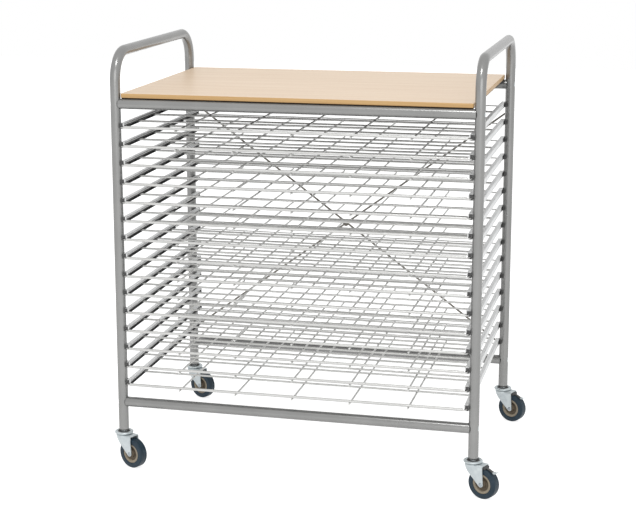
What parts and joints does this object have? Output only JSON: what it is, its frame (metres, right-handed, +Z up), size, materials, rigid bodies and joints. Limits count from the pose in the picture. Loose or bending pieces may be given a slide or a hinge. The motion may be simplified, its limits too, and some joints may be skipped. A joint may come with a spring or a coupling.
{
  "type": "art drying rack",
  "caption": "Mobile drying rack: bent-tube side hoops with stacked runners, sliding wire shelves, a board top, a crossed rear brace and swivel castors.",
  "frame": {"origin": "on the floor, midway between the four legs", "axes": "+X to the right and -Y to the front, where the shelves slide out; +Z up"},
  "size_m": [0.9824, 0.6508, 1.0623],
  "materials": {
    "tube_coating": "silver-grey satin powder coat",
    "wire_coating": "light silver satin coat",
    "brace_coating": "grey satin coat",
    "board": "beech decor, matt, with a matching edge band",
    "zinc": "bright zinc plate",
    "black_plastic": "black moulded plastic",
    "tyre": "blue-grey non-marking rubber",
    "rim": "beige-brown moulded plastic"
  },
  "bodies": {
    "rack": {"left_side_frame": "tube_coating", "right_side_frame": "tube_coating", "front_top_rail": "tube_coating", "rear_top_rail": "tube_coating", "front_bottom_rail": "tube_coating", "rear_bottom_rail": "tube_coating", "board_top": "board", "brace_rod_straight": "brace_coating", "brace_rod_joggled": "brace_coating", "brace_clamp": "zinc", "front_left_leg_plug": "black_plastic", "front_left_swivel_head": "zinc", "front_right_leg_plug": "black_plastic", "front_right_swivel_head": "zinc", "rear_left_leg_plug": "black_plastic", "rear_left_swivel_head": "zinc", "rear_right_leg_plug": "black_plastic", "rear_right_swivel_head": "zinc"},
    "shelf_01": {"wire_shelf_01": "wire_coating"},
    "shelf_02": {"wire_shelf_02": "wire_coating"},
    "shelf_03": {"wire_shelf_03": "wire_coating"},
    "shelf_04": {"wire_shelf_04": "wire_coating"},
    "shelf_05": {"wire_shelf_05": "wire_coating"},
    "shelf_06": {"wire_shelf_06": "wire_coating"},
    "shelf_07": {"wire_shelf_07": "wire_coating"},
    "shelf_08": {"wire_shelf_08": "wire_coating"},
    "shelf_09": {"wire_shelf_09": "wire_coating"},
    "shelf_10": {"wire_shelf_10": "wire_coating"},
    "shelf_11": {"wire_shelf_11": "wire_coating"},
    "shelf_12": {"wire_shelf_12": "wire_coating"},
    "shelf_13": {"wire_shelf_13": "wire_coating"},
    "shelf_14": {"wire_shelf_14": "wire_coating"},
    "shelf_15": {"wire_shelf_15": "wire_coating"},
    "front_left_castor": {"front_left_fork": "zinc", "front_left_axle": "zinc"},
    "front_left_wheel": {"front_left_rim": "rim", "front_left_tyre": "tyre"},
    "front_right_castor": {"front_right_fork": "zinc", "front_right_axle": "zinc"},
    "front_right_wheel": {"front_right_rim": "rim", "front_right_tyre": "tyre"},
    "front_right_brake": {"front_right_brake_pedal": "zinc"},
    "rear_left_castor": {"rear_left_fork": "zinc", "rear_left_axle": "zinc"},
    "rear_left_wheel": {"rear_left_rim": "rim", "rear_left_tyre": "tyre"},
    "rear_right_castor": {"rear_right_fork": "zinc", "rear_right_axle": "zinc"},
    "rear_right_wheel": {"rear_right_rim": "rim", "rear_right_tyre": "tyre"},
    "rear_right_brake": {"rear_right_brake_pedal": "zinc"}
  },
  "joints": [
    {"name": "shelf_01_slide", "type": "slide", "parent": "rack", "child": "shelf_01", "axis": [0, -1, 0], "range_m": [0, 0.35]},
    {"name": "shelf_02_slide", "type": "slide", "parent": "rack", "child": "shelf_02", "axis": [0, -1, 0], "range_m": [0, 0.35]},
    {"name": "shelf_03_slide", "type": "slide", "parent": "rack", "child": "shelf_03", "axis": [0, -1, 0], "range_m": [0, 0.35]},
    {"name": "shelf_04_slide", "type": "slide", "parent": "rack", "child": "shelf_04", "axis": [0, -1, 0], "range_m": [0, 0.35]},
    {"name": "shelf_05_slide", "type": "slide", "parent": "rack", "child": "shelf_05", "axis": [0, -1, 0], "range_m": [0, 0.35]},
    {"name": "shelf_06_slide", "type": "slide", "parent": "rack", "child": "shelf_06", "axis": [0, -1, 0], "range_m": [0, 0.35]},
    {"name": "shelf_07_slide", "type": "slide", "parent": "rack", "child": "shelf_07", "axis": [0, -1, 0], "range_m": [0, 0.35]},
    {"name": "shelf_08_slide", "type": "slide", "parent": "rack", "child": "shelf_08", "axis": [0, -1, 0], "range_m": [0, 0.35]},
    {"name": "shelf_09_slide", "type": "slide", "parent": "rack", "child": "shelf_09", "axis": [0, -1, 0], "range_m": [0, 0.35]},
    {"name": "shelf_10_slide", "type": "slide", "parent": "rack", "child": "shelf_10", "axis": [0, -1, 0], "range_m": [0, 0.35]},
    {"name": "shelf_11_slide", "type": "slide", "parent": "rack", "child": "shelf_11", "axis": [0, -1, 0], "range_m": [0, 0.35]},
    {"name": "shelf_12_slide", "type": "slide", "parent": "rack", "child": "shelf_12", "axis": [0, -1, 0], "range_m": [0, 0.35]},
    {"name": "shelf_13_slide", "type": "slide", "parent": "rack", "child": "shelf_13", "axis": [0, -1, 0], "range_m": [0, 0.35]},
    {"name": "shelf_14_slide", "type": "slide", "parent": "rack", "child": "shelf_14", "axis": [0, -1, 0], "range_m": [0, 0.35]},
    {"name": "shelf_15_slide", "type": "slide", "parent": "rack", "child": "shelf_15", "axis": [0, -1, 0], "range_m": [0, 0.35]},
    {"name": "front_left_castor_swivel", "type": "hinge", "parent": "rack", "child": "front_left_castor", "pos_m": [-0.445, -0.295, 0.084], "axis": [0, 0, 1], "continuous": true},
    {"name": "front_left_wheel_spin", "type": "hinge", "parent": "front_left_castor", "child": "front_left_wheel", "pos_m": [-0.41668, -0.30761, 0.0375], "axis": [0.4067, 0.9135, 0], "continuous": true},
    {"name": "front_right_castor_swivel", "type": "hinge", "parent": "rack", "child": "front_right_castor", "pos_m": [0.445, -0.295, 0.084], "axis": [0, 0, 1], "continuous": true},
    {"name": "front_right_wheel_spin", "type": "hinge", "parent": "front_right_castor", "child": "front_right_wheel", "pos_m": [0.47332, -0.30761, 0.0375], "axis": [0.4067, 0.9135, 0], "continuous": true},
    {"name": "front_right_brake_press", "type": "hinge", "parent": "front_right_castor", "child": "front_right_brake", "pos_m": [0.47515, -0.30842, 0.0793], "axis": [0.4067, 0.9135, 0], "range_deg": [-10, 0]},
    {"name": "rear_left_castor_swivel", "type": "hinge", "parent": "rack", "child": "rear_left_castor", "pos_m": [-0.445, 0.295, 0.084], "axis": [0, 0, 1], "continuous": true},
    {"name": "rear_left_wheel_spin", "type": "hinge", "parent": "rear_left_castor", "child": "rear_left_wheel", "pos_m": [-0.41668, 0.28239, 0.0375], "axis": [0.4067, 0.9135, 0], "continuous": true},
    {"name": "rear_right_castor_swivel", "type": "hinge", "parent": "rack", "child": "rear_right_castor", "pos_m": [0.445, 0.295, 0.084], "axis": [0, 0, 1], "continuous": true},
    {"name": "rear_right_wheel_spin", "type": "hinge", "parent": "rear_right_castor", "child": "rear_right_wheel", "pos_m": [0.47332, 0.28239, 0.0375], "axis": [0.4067, 0.9135, 0], "continuous": true},
    {"name": "rear_right_brake_press", "type": "hinge", "parent": "rear_right_castor", "child": "rear_right_brake", "pos_m": [0.47515, 0.28158, 0.0793], "axis": [0.4067, 0.9135, 0], "range_deg": [-10, 0]}
  ]
}
